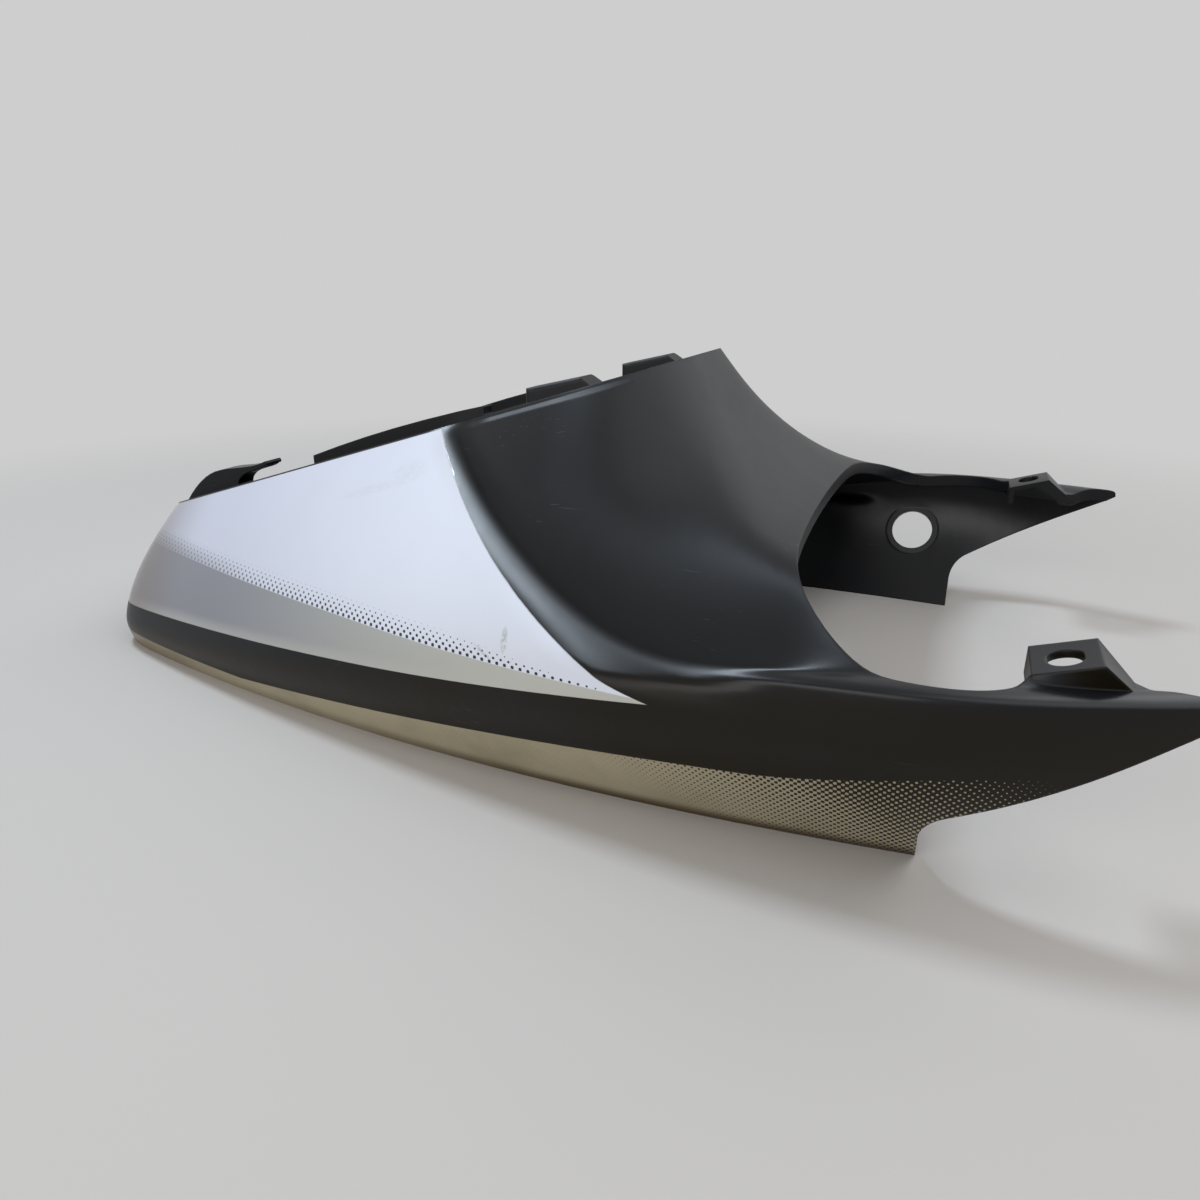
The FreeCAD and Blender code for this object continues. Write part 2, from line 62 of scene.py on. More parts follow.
class Value:
    """One number that varies over a surface, usable in Python expressions."""

    def __init__(self, graph: "Graph", socket: bpy.types.NodeSocket) -> None:
        """Wraps a socket.

        Args:
            graph: The node graph that the socket belongs to.
            socket: The output socket that carries the number, colour or vector.
        """
        self.graph = graph
        self.socket = socket

    def _math(self, operation: str, *terms: "Term") -> "Value":
        """Adds one Math node over the given terms."""
        return self.graph.node("ShaderNodeMath", {"operation": operation}, dict(enumerate(terms)))

    def __add__(self, other: "Term") -> "Value":
        """Sum."""
        return self._math("ADD", self, other)

    def __radd__(self, other: "Term") -> "Value":
        """Sum with a plain number first."""
        return self._math("ADD", other, self)

    def __sub__(self, other: "Term") -> "Value":
        """Difference."""
        return self._math("SUBTRACT", self, other)

    def __rsub__(self, other: "Term") -> "Value":
        """Difference with a plain number first."""
        return self._math("SUBTRACT", other, self)

    def __mul__(self, other: "Term") -> "Value":
        """Product."""
        return self._math("MULTIPLY", self, other)

    def __rmul__(self, other: "Term") -> "Value":
        """Product with a plain number first."""
        return self._math("MULTIPLY", other, self)

    def __truediv__(self, other: "Term") -> "Value":
        """Quotient."""
        return self._math("DIVIDE", self, other)

    def __rtruediv__(self, other: "Term") -> "Value":
        """Quotient with a plain number first."""
        return self._math("DIVIDE", other, self)

    def __abs__(self) -> "Value":
        """Size without the sign."""
        return self._math("ABSOLUTE", self)

    def sign(self) -> "Value":
        """Minus one, zero or one."""
        return self._math("SIGN", self)

    def cosine(self) -> "Value":
        """Cosine of an angle in radians."""
        return self._math("COSINE", self)

    def at_least(self, floor: "Term") -> "Value":
        """The larger of this and another value."""
        return self._math("MAXIMUM", self, floor)

    def at_most(self, ceiling: "Term") -> "Value":
        """The smaller of this and another value."""
        return self._math("MINIMUM", self, ceiling)

    def rise(self, low: "Term", high: "Term") -> "Value":
        """Smooth step from 0 at low to 1 at high.

        Args:
            low: Value where the step starts.
            high: Value where it ends; it may lie below low, which turns the step round.

        Returns:
            A mask between 0 and 1.
        """
        return self.graph.node(
            "ShaderNodeMapRange", {"interpolation_type": "SMOOTHSTEP"},
            {"Value": self, "From Min": low, "From Max": high})


Term = Union[Number, Value]


@dataclass(frozen=True)
class Mottle:
    """Soft noise: the size of its features in millimetres and how many finer layers it has."""

    size: float
    detail: float = 2.0


@dataclass(frozen=True)
class Grade:
    """A number that goes smoothly from one value to another along the part."""

    first: float
    last: float
    span: Span

    def at(self, station: Value) -> Value:
        """The number at a station."""
        return station.rise(*self.span) * (self.last - self.first) + self.first


class Graph:
    """The node graph of one material or world."""

    def __init__(self, owner: Union[bpy.types.Material, bpy.types.World]) -> None:
        """Empties the owner's node tree and takes it over."""
        owner.use_nodes = True
        self.tree = owner.node_tree
        self.tree.nodes.clear()

    def node(self, kind: str, settings: dict[str, Any], inputs: dict[Any, Any],
             output: Union[int, str] = 0) -> Value:
        """Adds one node of any type.

        Args:
            kind: The node's type name.
            settings: The node's own properties, set first.
            inputs: Numbers, tuples or values for its sockets, by name or index.
            output: Which output to return.

        Returns:
            The chosen output as a value.
        """
        made = self.tree.nodes.new(kind)
        for name, setting in settings.items():
            setattr(made, name, setting)
        for key, term in inputs.items():
            if isinstance(term, Value):
                self.tree.links.new(term.socket, made.inputs[key])
            else:
                made.inputs[key].default_value = term
        return Value(self, made.outputs[output] if made.outputs else None)

    def mix(self, share: Term, under: Any, over: Any, kind: Mixed = Mixed.COLOUR) -> Value:
        """Lays one colour or vector over another.

        Args:
            share: How much of the second shows, 0 to 1.
            under: The first colour or vector, plain or as a value.
            over: The second one.
            kind: Whether they are colours or vectors.

        Returns:
            The blend.
        """
        def full(term: Any) -> Any:
            """A plain colour gets its alpha, and anything else stays."""
            return term if isinstance(term, Value) or kind is Mixed.VECTOR else (*term, 1.0)

        data_type, first, output = kind.value
        inputs = {0: share, first: full(under), first + 1: full(over)}
        return self.node("ShaderNodeMix", {"data_type": data_type}, inputs, output)

    def split(self, vector: Value) -> tuple[Value, Value, Value]:
        """The three parts of a vector."""
        parts = [self.node("ShaderNodeSeparateXYZ", {}, {0: vector}, k) for k in range(3)]
        return parts[0], parts[1], parts[2]

    def join(self, x: Term, y: Term, z: Term) -> Value:
        """A vector from its three parts."""
        return self.node("ShaderNodeCombineXYZ", {}, {0: x, 1: y, 2: z})

    def noise(self, place: Value, mottle: Mottle) -> Value:
        """Soft noise between 0 and 1."""
        return self.node("ShaderNodeTexNoise", {}, {
            "Vector": place, "Scale": 1.0 / (mottle.size * MM), "Detail": mottle.detail,
            "Roughness": NOISE_ROUGHNESS})


@dataclass(frozen=True)
class Halftone:
    """A staggered screen of round dots, sizes in millimetres.

    The screen is the mean of two cosines along the diagonals, so dots grow, join and turn into
    gaps as the ink share goes from 0 to 1.
    """

    pitch: float
    row_step: float
    blur: float = 0.06

    def dots(self, along: Value, up: Value, ink: Value) -> Value:
        """Mask of the ink.

        Args:
            along: Millimetres along the surface.
            up: Millimetres up the surface.
            ink: Share of the surface that is inked, 0 to 1.

        Returns:
            1 inside the dots and 0 between them.
        """
        turn = 2.0 * np.pi
        column = along * (1.0 / self.pitch)
        row = up * (0.5 / self.row_step)
        screen = ((column + row) * turn).cosine() + ((column - row) * turn).cosine()
        level = screen * 0.25 + 0.5
        return (level + ink).rise(1.0 - self.blur, 1.0 + self.blur)


@dataclass(frozen=True)
class PaintLayout:
    """Where each coat ends on the shell, in millimetres of the part's frame."""

    top_height: float = 171.5
    top_station: float = 62.5
    top_slope: float = 0.30002
    flange_drop: Span = (0.5, 0.9)
    skin_half: Span = (69.0, 70.0)
    rear_station: Span = (-234.0, -235.0)
    facing_lean: float = 0.6
    facing: Span = (0.08, 0.16)
    right_half: Span = (1.0, -1.0)
    edge_station: float = 12.9
    edge_height: float = 99.0
    edge_lean: float = -1.6
    edge_bow: float = 0.0028
    edge_toe_height: float = 66.0
    edge_toe: float = 0.22
    edge_blur: Span = (-0.18, 0.18)
    nick: Mottle = Mottle(2.2, 3.0)
    nick_depth: float = 0.5
    wander: Mottle = Mottle(18.0)
    wander_depth: float = 0.9
    band_top: Curve = (48.0, 0.112, 0.0001)
    band_blur: Span = (-0.15, 0.15)
    strip_top: tuple[float, float] = (23.2, 0.094)
    strip_least: float = 9.3
    strip_lift: Grade = Grade(0.0, 10.5, (125.0, 215.0))

    def top(self, x: Value) -> Value:
        """Height of the sloping flange: a straight line along the part."""
        return (x - self.top_station) * self.top_slope + self.top_height

    def edge(self, z: Value) -> Value:
        """Station where the white panel ends: a leaning parabola over the height with a toe."""
        up = z - self.edge_height
        toe = (self.edge_toe_height - z).at_least(0.0)
        line = up * self.edge_lean + up * up * self.edge_bow
        return line + toe * toe * self.edge_toe + self.edge_station

    def band(self, x: Value) -> Value:
        """Height of the dark band's upper edge: a parabola along the part."""
        base, slope, bow = self.band_top
        return x * slope + x * x * bow + base

    def strip(self, x: Value) -> Value:
        """Height of the pale strip's upper edge: a straight line, lifted at the front."""
        base, slope = self.strip_top
        line = (x * slope + base).at_least(self.strip_least)
        return line + self.strip_lift.at(x)


class Skin:
    """The shell's surface in its material: places in millimetres, and masks between 0 and 1."""

    def __init__(self, graph: Graph, layout: PaintLayout) -> None:
        """Works out which surface is outside skin, and where each coat lies on it.

        Args:
            graph: The material's node graph.
            layout: Where each coat ends.
        """
        self.graph = graph
        self.place = graph.node("ShaderNodeTexCoord", {}, {}, "Object")
        self.x, self.y, self.z = (part * (1.0 / MM) for part in graph.split(self.place))
        normal = graph.node("ShaderNodeNewGeometry", {}, {}, "Normal")
        nx, ny, self.nz = graph.split(normal)
        self.side = self.y.sign()
        self.right = self.y.rise(*layout.right_half)
        self.below_top = layout.top(self.x) - self.z
        facing = self.side * ny - nx * layout.facing_lean
        wall = abs(self.y).rise(*layout.skin_half).at_least(self.x.rise(*layout.rear_station))
        self.outside = facing.rise(*layout.facing) * wall * self.below_top.rise(*layout.flange_drop)
        ragged = (graph.noise(self.place, layout.nick) - 0.5) * layout.nick_depth
        ragged = ragged + (graph.noise(self.place, layout.wander) - 0.5) * layout.wander_depth
        self.to_edge = layout.edge(self.z) - self.x + ragged
        self.over_band = self.z - layout.band(self.x)
        above_band = self.over_band.rise(*layout.band_blur)
        self.panel = self.outside * self.to_edge.rise(*layout.edge_blur) * above_band
        self.strip = self.outside * (layout.strip(self.x) - self.z).rise(*layout.band_blur)


@dataclass(frozen=True)
class Coat:
    """Colour and roughness of what has been laid so far."""

    colour: Value
    roughness: Value

    def covered(self, share: Value, colour: Value, roughness: Value) -> "Coat":
        """Lays another coat over this one.

        Args:
            share: Where the other coat lies, 0 to 1.
            colour: Its colour.
            roughness: Its roughness.

        Returns:
            Both coats as one.
        """
        rougher = (roughness - self.roughness) * share
        return Coat(share.graph.mix(share, self.colour, colour), self.roughness + rougher)


@dataclass(frozen=True)
class Ridge:
    """The rounded ridge beside the scoop and the hollow inside it, in millimetres.

    Its half width and height are parabolas along the part that end level at the front. Near it
    the shading normal is drawn towards a mean normal: the crest's along the ridge, which turns
    smoothly into the hollow's inboard of it.
    """

    half: Curve = (133.0, 0.80, -0.0036)
    height: Curve = (110.5, -0.53, 0.00175)
    level_from: float = 105.0
    rear: Span = (-60.0, -40.0)
    front: float = 140.0
    front_run: float = 40.0
    hollow_ahead: float = 30.0
    outer: Span = (-16.0, -4.0)
    reach: Grade = Grade(20.0, 28.0, (10.0, 95.0))
    reach_run: Grade = Grade(14.0, 58.0, (0.0, 80.0))
    drop: Grade = Grade(0.0, 6.0, (0.0, 60.0))
    drop_run: Span = (16.0, 6.0)
    crest_end: float = -8.0
    hollow_start: Grade = Grade(16.0, 10.0, (-40.0, 90.0))
    upward: Span = (-0.05, 0.15)
    strength: float = 0.94
    rim_under: Span = (5.0, 3.0)
    rim_over: Span = (0.8, 2.0)
    rim_from: Span = (-45.0, -25.0)
    rim_strength: float = 0.7
    crest_back: tuple[float, float] = (-0.01, -0.0016)
    crest_out: tuple[float, float] = (0.49, -0.0007)
    crest_up: float = 0.865
    hollow_normal: Point = (-0.28, 0.75, 0.60)

    def line(self, x: Value, curve: Curve) -> Value:
        """Half width or height of the ridge: a parabola that ends level at the front."""
        base, slope, bow = curve
        along = x.at_most(self.level_from)
        return along * slope + along * along * bow + base

    def inboard(self, skin: Skin) -> Value:
        """Distance inboard of the ridge."""
        return self.line(skin.x, self.half) - abs(skin.y)

    def rounded(self, skin: Skin, normal: Value) -> Value:
        """Normal that turns more slowly over the ridge and its hollow, as on a full round edge.

        Args:
            skin: The surface that is shaded.
            normal: The surface's own normal.

        Returns:
            That normal, drawn towards the mean normal near the ridge and along the top edge.
        """
        graph, x = skin.graph, skin.x
        inboard = self.inboard(skin)
        hollow_share = inboard.rise(self.crest_end, self.hollow_start.at(x)).at_least(skin.panel)
        near = self._near(skin, inboard, hollow_share) * skin.nz.rise(*self.upward) * self.strength
        rim = skin.below_top.rise(*self.rim_under) * skin.below_top.rise(*self.rim_over)
        rim = rim * skin.outside * x.rise(*self.rim_from)
        back, back_slope = self.crest_back
        out, out_slope = self.crest_out
        crest = graph.join(x * back_slope + back, skin.side * (x * out_slope + out), self.crest_up)
        hollow = graph.join(self.hollow_normal[0], skin.side * self.hollow_normal[1], self.hollow_normal[2])
        mean = graph.mix(hollow_share * (1.0 - rim), crest, hollow, Mixed.VECTOR)
        share = near.at_least(rim * (1.0 - skin.panel) * self.rim_strength)
        return graph.mix(share, normal, mean, Mixed.VECTOR)

    def _near(self, skin: Skin, inboard: Value, hollow_share: Value) -> Value:
        """Mask of the ridge and its hollow.

        Args:
            skin: The surface that is shaded.
            inboard: Distance inboard of the ridge.
            hollow_share: 0 on the ridge and 1 in its hollow, which goes on further forward.

        Returns:
            1 near the ridge and 0 away from it.
        """
        x = skin.x
        reach, drop = self.reach.at(x), self.drop.at(x)
        under = self.line(x, self.height) - skin.z
        across = inboard.rise(*self.outer) * inboard.rise(reach + self.reach_run.at(x), reach)
        low, high = self.drop_run
        across = across * under.rise(drop + low, drop + high)
        front = hollow_share * self.hollow_ahead + self.front
        return across * x.rise(*self.rear) * x.rise(front, front - self.front_run)


@dataclass(frozen=True)
class BlackMoulding:
    """Satin black with olive-black film on its sides, a faint haze, specks and hairline scratches."""

    colour: Colour = (0.0046, 0.0051, 0.0066)
    film: Colour = OLIVE_BLACK
    film_tilt: Span = (0.25, -0.05)
    roughness: float = 0.33
    dust: Colour = (0.011, 0.0115, 0.013)
    haze: Mottle = Mottle(60.0, 4.0)
    haze_level: Span = (0.45, 0.75)
    haze_share: float = 0.35
    haze_rough: float = 0.10
    fine: Mottle = Mottle(9.0, 4.0)
    fine_rough: float = 0.05
    mark: Colour = (0.22, 0.22, 0.23)
    mark_rough: float = 0.2
    speck_cells: float = 75.0
    speck_pick: Span = (0.80, 0.84)
    speck_least: float = 0.008
    speck_more: float = 0.022
    speck_blur: float = 0.006
    speck_share: float = 0.75
    scratch_turn: Point = (0.3, 0.9, 0.5)
    scratch_scale: Point = (30.0, 900.0, 900.0)
    scratch_level: Span = (0.70, 0.74)
    scratch_patch: Mottle = Mottle(35.0)
    scratch_patch_level: Span = (0.56, 0.68)
    scratch_share: float = 0.12
    rubbed_inner: Span = (14.0, 4.0)
    rubbed_outer: Span = (-18.0, -8.0)
    rubbed_tilt: Span = (0.1, 0.3)
    rubbed_smooth: float = 0.03
    scoop: Span = (14.0, 50.0)
    scoop_rough: float = 0.12

    def lay(self, skin: Skin, ridge: Ridge) -> Coat:
        """Lays the black on the whole shell.

        Args:
            skin: The surface that is coated.
            ridge: The ridge beside the scoop, which is rubbed smoother, with a duller scoop.

        Returns:
            The first coat.
        """
        graph, place = skin.graph, skin.place
        film = skin.outside * skin.nz.rise(*self.film_tilt)
        colour = graph.mix(film, self.colour, self.film)
        haze = graph.noise(place, self.haze)
        colour = graph.mix(haze.rise(*self.haze_level) * self.haze_share, colour, self.dust)
        marks = (self._specks(skin) * self.speck_share).at_least(self._scratches(skin) * self.scratch_share)
        colour = graph.mix(marks, colour, self.mark)
        inboard = ridge.inboard(skin)
        rubbed = inboard.rise(*self.rubbed_inner) * inboard.rise(*self.rubbed_outer)
        rubbed = rubbed * skin.nz.rise(*self.rubbed_tilt)
        mean = self.roughness - (self.haze_rough + self.fine_rough) / 2.0
        level = inboard.rise(*self.scoop) * self.scoop_rough - rubbed * self.rubbed_smooth + mean
        mottled = haze * self.haze_rough + graph.noise(place, self.fine) * self.fine_rough
        return Coat(colour, mottled + level + marks * self.mark_rough)

    def _specks(self, skin: Skin) -> Value:
        """Mask of the specks: a small disc in a few cells of a cell pattern, of uneven size."""
        graph = skin.graph
        cells = {"Vector": skin.place, "Scale": self.speck_cells}
        near = graph.node("ShaderNodeTexVoronoi", {}, cells, "Distance")
        chance = graph.split(graph.node("ShaderNodeTexVoronoi", {}, cells, "Color"))
        size = chance[1] * self.speck_more + self.speck_least
        return (size - near).rise(0.0, self.speck_blur) * chance[0].rise(*self.speck_pick)

    def _scratches(self, skin: Skin) -> Value:
        """Mask of the scratches: noise drawn out along one direction, in patches."""
        graph = skin.graph
        drawn_out = graph.node("ShaderNodeMapping", {}, {
            "Vector": skin.place, "Rotation": self.scratch_turn, "Scale": self.scratch_scale})
        hair = graph.node("ShaderNodeTexNoise", {}, {"Vector": drawn_out, "Scale": 1.0, "Detail": 1.0})
        patch = graph.noise(skin.place, self.scratch_patch).rise(*self.scratch_patch_level)
        return hair.rise(*self.scratch_level) * patch


@dataclass(frozen=True)
class LowerStrip:
    """Pale strip along the lower rim, with dots that close up to black at the front; its tan is painted
    warm shade on white paint, its lip and tail are darkened by painted shade, and it has stains at random.
    """

    # The strip's paint is white; this tan is painted warm shade and floor reflection where it faces down.
    tan_shade_on_white: Colour = (0.355, 0.315, 0.220)
    brown_shade_and_stain: Colour = (0.075, 0.050, 0.020)
    ink: Colour = OLIVE_BLACK
    roughness: float = 0.30
    mottle: Mottle = Mottle(25.0)
    mottle_rough: float = 0.08
    dots: Halftone = Halftone(2.8, 1.55)
    lip: Span = (8.0, 1.0)
    lip_along: Grade = Grade(0.3, 1.0, (-140.0, 90.0))
    tail: Span = (-110.0, -250.0)
    tail_darkening_share: float = 0.55
    stain: Mottle = Mottle(40.0, 3.0)
    stain_level: Span = (0.4, 0.8)
    stain_share: float = 0.25
    fade_start: float = 105.0
    fade_run: float = 200.0
    fade_lean: float = 1.5

    def lay(self, skin: Skin, under: Coat) -> Coat:
        """Lays the strip.

        Args:
            skin: The surface that is coated.
            under: What lies under the strip.

        Returns:
            The coats with the strip laid on.
        """
        graph, x, z = skin.graph, skin.x, skin.z
        # Painted shade and floor reflection: the rounded lip along the lower rim and the strip towards the
        # tail turn dark brownish.
        lip = z.rise(*self.lip) * self.lip_along.at(x)
        brown_shade_and_stain = lip.at_least(x.rise(*self.tail) * self.tail_darkening_share)
        colour = graph.mix(brown_shade_and_stain, self.tan_shade_on_white, self.brown_shade_and_stain)
        stain = graph.noise(skin.place, self.stain).rise(*self.stain_level) * self.stain_share
        colour = graph.mix(stain, colour, self.brown_shade_and_stain)
        ahead = x + z * self.fade_lean - self.fade_start
        dots = self.dots.dots(x, z, (ahead * (1.0 / self.fade_run)).at_least(0.0))
        colour = graph.mix(dots, colour, self.ink)
        mean = self.roughness - self.mottle_rough / 2.0
        roughness = graph.noise(skin.place, self.mottle) * self.mottle_rough + mean
        return under.covered(skin.strip, colour, roughness)


@dataclass(frozen=True)
class Scuff:
    """A smear of rubbed-off dirt on the right side: an ellipse in the side view, millimetres."""

    station: float
    height: float
    half_length: float
    half_height: float
    lean: float
    strength: float


@dataclass(frozen=True)
class SidePanel:
    """White panel that turns silver below a row of dots, with scuffs and a thin dark line along its edge,
    painted shade towards the rear and the tail, and a painted reflection along the silver's lower edge.
    """

    white: Colour = (0.725, 0.765, 0.870)
    white_rear_painted_shade: Colour = (0.550, 0.578, 0.690)
    white_shade_along: Span = (0.0, -220.0)
    cloudy: Colour = (0.50, 0.52, 0.58)
    cloud: Mottle = Mottle(55.0, 3.0)
    cloud_level: Span = (0.35, 0.8)
    cloud_share: float = 0.10
    silver: Colour = (0.215, 0.225, 0.260)
    pale_silver_and_sheen: Colour = (0.50, 0.505, 0.465)
    silver_shade_along: Span = (-190.0, 60.0)
    silver_foot_sheen: Span = (7.0, 0.0)
    silver_foot_sheen_share: float = 0.45
    silver_blur: Span = (0.25, -0.25)
    rear_grey_height: Span = (9.0, 0.0)
    rear_grey_along: Span = (-120.0, -230.0)
    rear_grey_share: float = 0.7
    tail_painted_shade: Colour = (0.150, 0.120, 0.100)
    tail_along: Span = (-195.0, -264.0)
    tail_darkening_share: float = 0.75
    roughness: float = 0.20
    mottle: Mottle = Mottle(30.0, 3.0)
    mottle_rough: float = 0.10
    dots: Halftone = Halftone(3.8, 1.75)
    dot_ink: Colour = (0.020, 0.022, 0.034)
    dot_faded: Colour = (0.235, 0.240, 0.275)
    dot_fading: Span = (-30.0, -215.0)
    dot_foot: float = 60.3
    dot_foot_blur: Span = (-0.2, 0.2)
    dot_rows: Grade = Grade(8.3, 0.0, (-20.0, 95.0))
    dot_rows_least: float = 0.6
    dot_most: float = 0.42
    edge_line_colour: Colour = (0.16, 0.13, 0.10)
    edge_line_span: Span = (1.1, 0.3)
    edge_line_share: float = 0.55
    smear: Colour = (0.30, 0.31, 0.27)
    smear_torn: Mottle = Mottle(1.6, 4.0)
    smear_torn_level: Span = (0.32, 0.62)
    smear_edge: Span = (1.3, 0.1)
    scuffs: tuple[Scuff, ...] = (
        Scuff(27.6, 71.0, 1.8, 5.5, 0.05, 0.55),
        Scuff(16.8, 64.4, 5.0, 1.0, -0.5, 0.42),
        Scuff(-70.0, 112.0, 26.0, 2.2, 0.30, 0.10),
        Scuff(-52.0, 121.0, 12.0, 5.0, 0.20, 0.12),
    )

    def lay(self, skin: Skin, under: Coat) -> Coat:
        """Lays the panel.

        Args:
            skin: The surface that is coated.
            under: What lies under the panel.

        Returns:
            The coats with the panel laid on.
        """
        graph = skin.graph
        above = skin.z - self.dot_foot
        colour = graph.mix(above.rise(*self.silver_blur), self._white(skin, above), self._silver(skin))
        # Painted shade and reflection: the panel turns dark brownish towards the tail, where it turns away.
        colour = graph.mix(skin.x.rise(*self.tail_along) * self.tail_darkening_share, colour, self.tail_painted_shade)
        colour = graph.mix(self._smears(skin), colour, self.smear)
        # A thin dark brownish line along the paint edge.
        colour = graph.mix(skin.to_edge.rise(*self.edge_line_span) * self.edge_line_share, colour, self.edge_line_colour)
        mean = self.roughness - self.mottle_rough / 2.0
        roughness = graph.noise(skin.place, self.mottle) * self.mottle_rough + mean
        return under.covered(skin.panel, colour, roughness)

    def _silver(self, skin: Skin) -> Value:
        """Silver that turns paler to the front and along its lower edge; its darker rear is partly silver
        paint and partly painted shade, and its paler lower edge is a painted reflection where the panel
        curves under.
        """
        graph = skin.graph
        # Darker to the rear: partly silver paint, partly painted shade.
        silver = graph.mix(skin.x.rise(*self.silver_shade_along), self.silver, self.pale_silver_and_sheen)
        # Paler lower edge: painted reflection where the surface curves under.
        foot = skin.over_band.rise(*self.silver_foot_sheen) * self.silver_foot_sheen_share
        return graph.mix(foot, silver, self.pale_silver_and_sheen)

    def _white(self, skin: Skin, above: Value) -> Value:
        """White, darker towards the rear as painted shade, with a row of dots that shrink upwards, and grey
        over them at the rear that is partly grey paint and partly painted shade.

        Args:
            skin: The surface that is coated.
            above: Height above the foot of the dots.

        Returns:
            The colour above the silver.
        """
        graph, x = skin.graph, skin.x
        # Painted shade: the white turns darker and bluer towards the rear.
        white = graph.mix(x.rise(*self.white_shade_along), self.white, self.white_rear_painted_shade)
        cloud = graph.noise(skin.place, self.cloud).rise(*self.cloud_level) * self.cloud_share
        white = graph.mix(cloud, white, self.cloudy)
        rows = self.dot_rows.at(x).at_least(self.dot_rows_least)
        dots = self.dots.dots(x, skin.z, (1.0 - above / rows) * self.dot_most)
        ink = graph.mix(x.rise(*self.dot_fading), self.dot_ink, self.dot_faded)
        white = graph.mix(dots * above.rise(*self.dot_foot_blur), white, ink)
        # Grey over the dots towards the rear: partly grey paint, partly painted shade.
        rear_grey_paint_and_shade = above.rise(*self.rear_grey_height) * x.rise(*self.rear_grey_along) * self.rear_grey_share
        return graph.mix(rear_grey_paint_and_shade, white, self.silver)

    def _smears(self, skin: Skin) -> Value:
        """Mask of the smears: an ellipse each, broken up by noise."""
        total: Term = 0.0
        for scuff in self.scuffs:
            along = skin.x - scuff.station
            up = (skin.z - scuff.height - along * scuff.lean) * (1.0 / scuff.half_height)
            reach = along * (1.0 / scuff.half_length)
            one = (reach * reach + up * up).rise(*self.smear_edge) * scuff.strength
            total = one.at_least(total)
        torn = skin.graph.noise(skin.place, self.smear_torn).rise(*self.smear_torn_level)
        return torn * total * skin.right


@dataclass(frozen=True)
class ShellDress:
    """The shell's one material, with all its coats."""

    layout: PaintLayout = PaintLayout()
    ridge: Ridge = Ridge()
    black: BlackMoulding = BlackMoulding()
    strip: LowerStrip = LowerStrip()
    panel: SidePanel = SidePanel()
    gloss_level: float = 0.23
    lacquer: float = 0.6
    lacquer_roughness: float = 0.08
    edge_soften_mm: float = 1.3
    edge_samples: int = 6
    grain: Mottle = Mottle(0.7)
    grain_height: float = 0.03
    ripple: Mottle = Mottle(22.0, 1.0)
    ripple_height: float = 0.4
    relief_strength: float = 0.25
    relief_mm: float = 0.4

    def build(self) -> bpy.types.Material:
        """Makes the material.

        Returns:
            The finished material.
        """
        material = bpy.data.materials.new("painted_shell")
        graph = Graph(material)
        skin = Skin(graph, self.layout)
        coat = self.black.lay(skin, self.ridge)
        coat = self.strip.lay(skin, coat)
        coat = self.panel.lay(skin, coat)
        shader = graph.node("ShaderNodeBsdfPrincipled", {}, {
            "Base Color": coat.colour, "Roughness": coat.roughness,
            "Specular IOR Level": self.gloss_level, "Coat Weight": skin.panel * self.lacquer,
            "Coat Roughness": self.lacquer_roughness, "Normal": self._relief(skin)})
        graph.node("ShaderNodeOutputMaterial", {}, {"Surface": shader})
        return material

    def _relief(self, skin: Skin) -> Value:
        """Normal with softened edges, the rounded ridge, a fine grain and a faint ripple."""
        graph = skin.graph
        soft = graph.node("ShaderNodeBevel", {"samples": self.edge_samples},
                          {"Radius": self.edge_soften_mm * MM})
        grain = graph.noise(skin.place, self.grain) * (1.0 - skin.panel)
        ripple = graph.noise(skin.place, self.ripple)
        height = grain * self.grain_height + ripple * self.ripple_height
        return graph.node("ShaderNodeBump", {}, {
            "Strength": self.relief_strength, "Distance": self.relief_mm * MM,
            "Height": height, "Normal": self.ridge.rounded(skin, soft)})


@dataclass(frozen=True)
class SoftLamp:
    """A square lamp that shines at the part's middle; metres and watts."""

    name: str
    place: Point
    size: float
    power: float
    tint: Colour

    def build(self, aim: Vector) -> None:
        """Adds the lamp, turned to its aim."""
        data = bpy.data.lights.new(self.name, "AREA")
        data.size = self.size
        data.energy = self.power
        data.color = self.tint
        lamp = bpy.data.objects.new(self.name, data)
        lamp.location = self.place
        lamp.rotation_euler = (aim - lamp.location).to_track_quat("-Z", "Y").to_euler()
        bpy.context.scene.collection.objects.link(lamp)


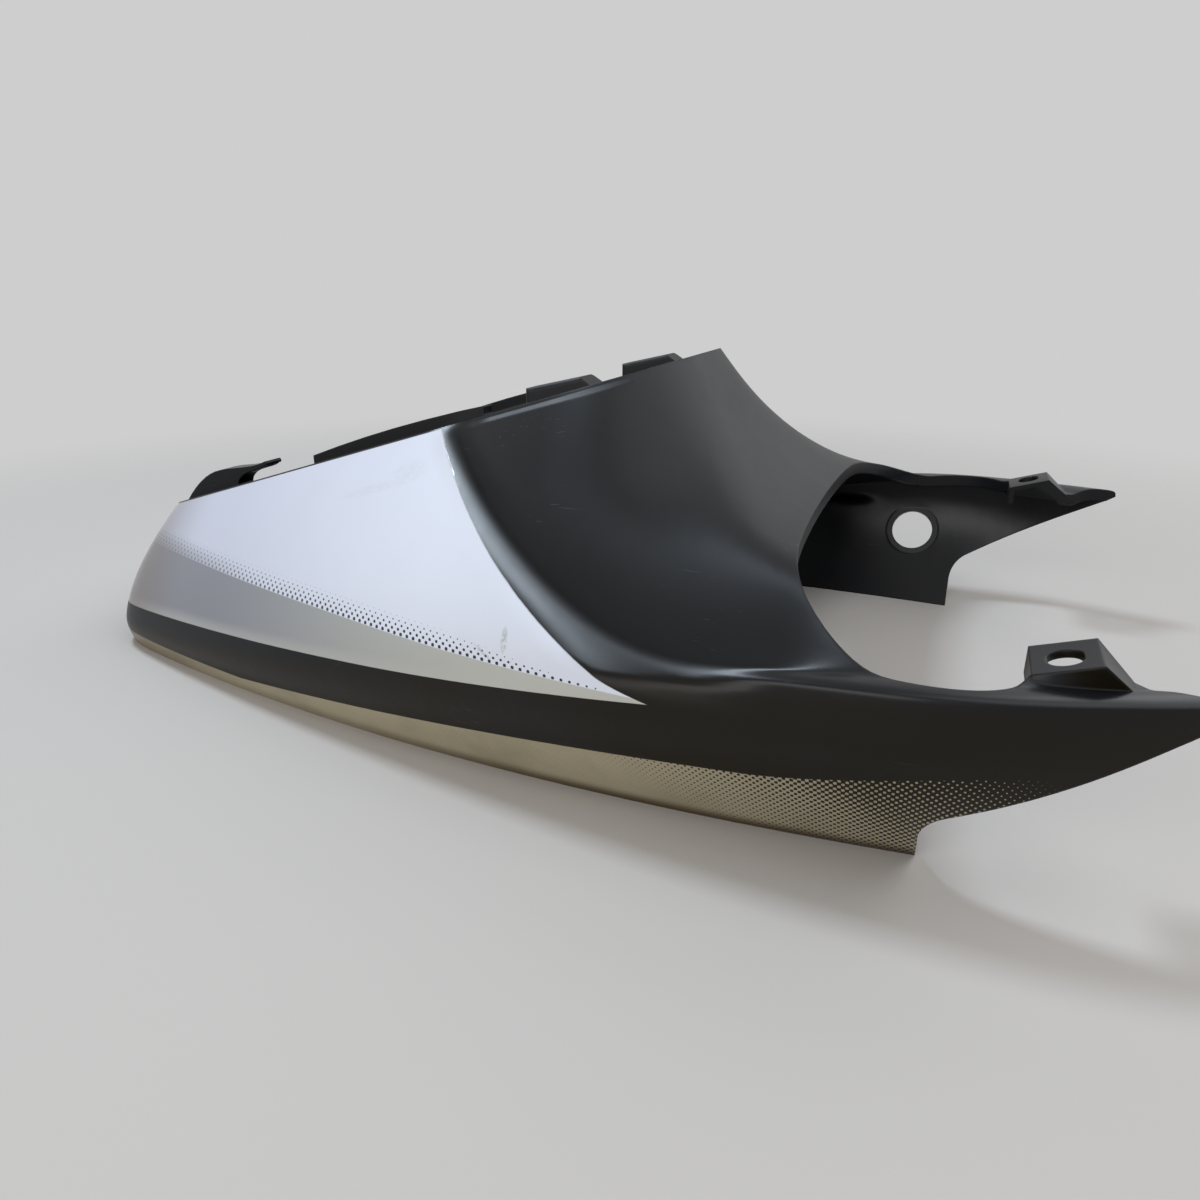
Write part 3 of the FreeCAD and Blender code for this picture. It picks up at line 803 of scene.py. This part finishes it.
@dataclass(frozen=True)
class Studio:
    """Pale floor, soft light and the camera; metres, with the lens in millimetres."""

    backdrop: float = 0.617
    sky: float = 0.15
    sky_tint: Colour = (0.98, 0.99, 1.0)
    floor_half: float = 4.0
    floor_cells: int = 40
    floor_fade: Span = (1.0, 0.36)
    floor_colour: Colour = (0.585, 0.555, 0.530)
    floor_roughness: float = 0.9
    lens: float = 27.0
    sensor: float = 36.0
    nearest: float = 0.01
    camera_place: Point = (0.1870, -0.4625, 0.2092)
    camera_right: Point = (0.92786, 0.37292, 0.0)
    camera_down: Point = (0.12769, -0.31771, -0.93955)
    camera_ahead: Point = (-0.35038, 0.87177, -0.34241)
    lamps: tuple[SoftLamp, ...] = (
        SoftLamp("rear_softbox", (-0.63, 0.11, 1.24), 0.27, 9.5, (0.76, 0.88, 1.0)),
        SoftLamp("front_softbox", (0.68, -0.15, 1.32), 1.2, 8.0, (0.98, 0.99, 1.0)),
        SoftLamp("back_softbox", (0.75, 0.90, 0.95), 1.0, 5.0, (0.96, 0.98, 1.0)),
        SoftLamp("side_fill", (-0.3, -1.65, 0.65), 1.2, 15.0, (1.0, 0.99, 0.97)),
    )

    def build(self) -> None:
        """Builds everything round the part."""
        self._camera()
        self._floor()
        self._world()
        aim = (CAD_LOW + CAD_HIGH) / 2
        for lamp in self.lamps:
            lamp.build(aim)

    def _camera(self) -> None:
        """Places the camera by the photograph's own axes."""
        data = bpy.data.cameras.new("view")
        data.lens = self.lens
        data.sensor_width = self.sensor
        data.clip_start = self.nearest
        camera = bpy.data.objects.new("view", data)
        axes = (Vector(self.camera_right), -Vector(self.camera_down), -Vector(self.camera_ahead))
        turn = Matrix([[axis[k] for axis in axes] for k in range(3)])
        camera.matrix_world = Matrix.Translation(self.camera_place) @ turn.to_4x4()
        bpy.context.scene.collection.objects.link(camera)
        bpy.context.scene.camera = camera

    def _floor(self) -> None:
        """Flat square grid at height 0 whose colour fades out towards its rim."""
        line = np.linspace(-self.floor_half, self.floor_half, self.floor_cells + 1)
        x, y = np.meshgrid(line, line, indexing="ij")
        points = np.stack([x, y, np.zeros_like(x)], axis=-1).reshape(-1, 3)
        index = np.arange(x.size).reshape(x.shape)
        corners = [index[:-1, :-1], index[1:, :-1], index[1:, 1:], index[:-1, 1:]]
        quads = np.stack(corners, axis=-1).reshape(-1, 4)
        mesh = bpy.data.meshes.new("floor")
        mesh.from_pydata(points.tolist(), [], quads.tolist())
        floor = bpy.data.objects.new("floor", mesh)
        floor.data.materials.append(self._floor_paint())
        bpy.context.scene.collection.objects.link(floor)

    def _floor_paint(self) -> bpy.types.Material:
        """Matt pale grey that fades to clear with the distance from the middle."""
        material = bpy.data.materials.new("floor_paper")
        graph = Graph(material)
        place = graph.node("ShaderNodeTexCoord", {}, {}, "Object")
        far = graph.node("ShaderNodeVectorMath", {"operation": "LENGTH"}, {0: place}, "Value")
        shader = graph.node("ShaderNodeBsdfPrincipled", {}, {
            "Base Color": (*self.floor_colour, 1.0), "Roughness": self.floor_roughness,
            "Specular IOR Level": 0.0, "Alpha": far.rise(*self.floor_fade)})
        graph.node("ShaderNodeOutputMaterial", {}, {"Surface": shader})
        return material

    def _world(self) -> None:
        """Even light all round; the camera and reflections see the pale backdrop."""
        world = bpy.data.worlds.new("studio")
        bpy.context.scene.world = world
        graph = Graph(world)
        path = [graph.node("ShaderNodeLightPath", {}, {}, name)
                for name in ("Is Camera Ray", "Is Glossy Ray", "Is Transmission Ray")]
        seen = path[0].at_least(path[1]).at_least(path[2])
        light = graph.node("ShaderNodeBackground", {}, {
            "Color": (*self.sky_tint, 1.0), "Strength": self.sky})
        shown = graph.node("ShaderNodeBackground", {}, {
            "Color": (1.0, 1.0, 1.0, 1.0), "Strength": self.backdrop})
        both = graph.node("ShaderNodeMixShader", {}, {0: seen, 1: light, 2: shown})
        graph.node("ShaderNodeOutputWorld", {}, {"Surface": both})


def main() -> None:
    """Builds the studio, dresses the shell and reports it."""
    logging.basicConfig(level=logging.INFO)
    bpy.context.scene.view_settings.view_transform = "Standard"
    Studio().build()
    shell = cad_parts[SHELL]
    material = ShellDress().build()
    for slot in shell.material_slots:
        slot.material = material
    LOG.info("dressed %s with %d faces", SHELL, len(shell.data.polygons))


if __name__ == "__main__":
    main()
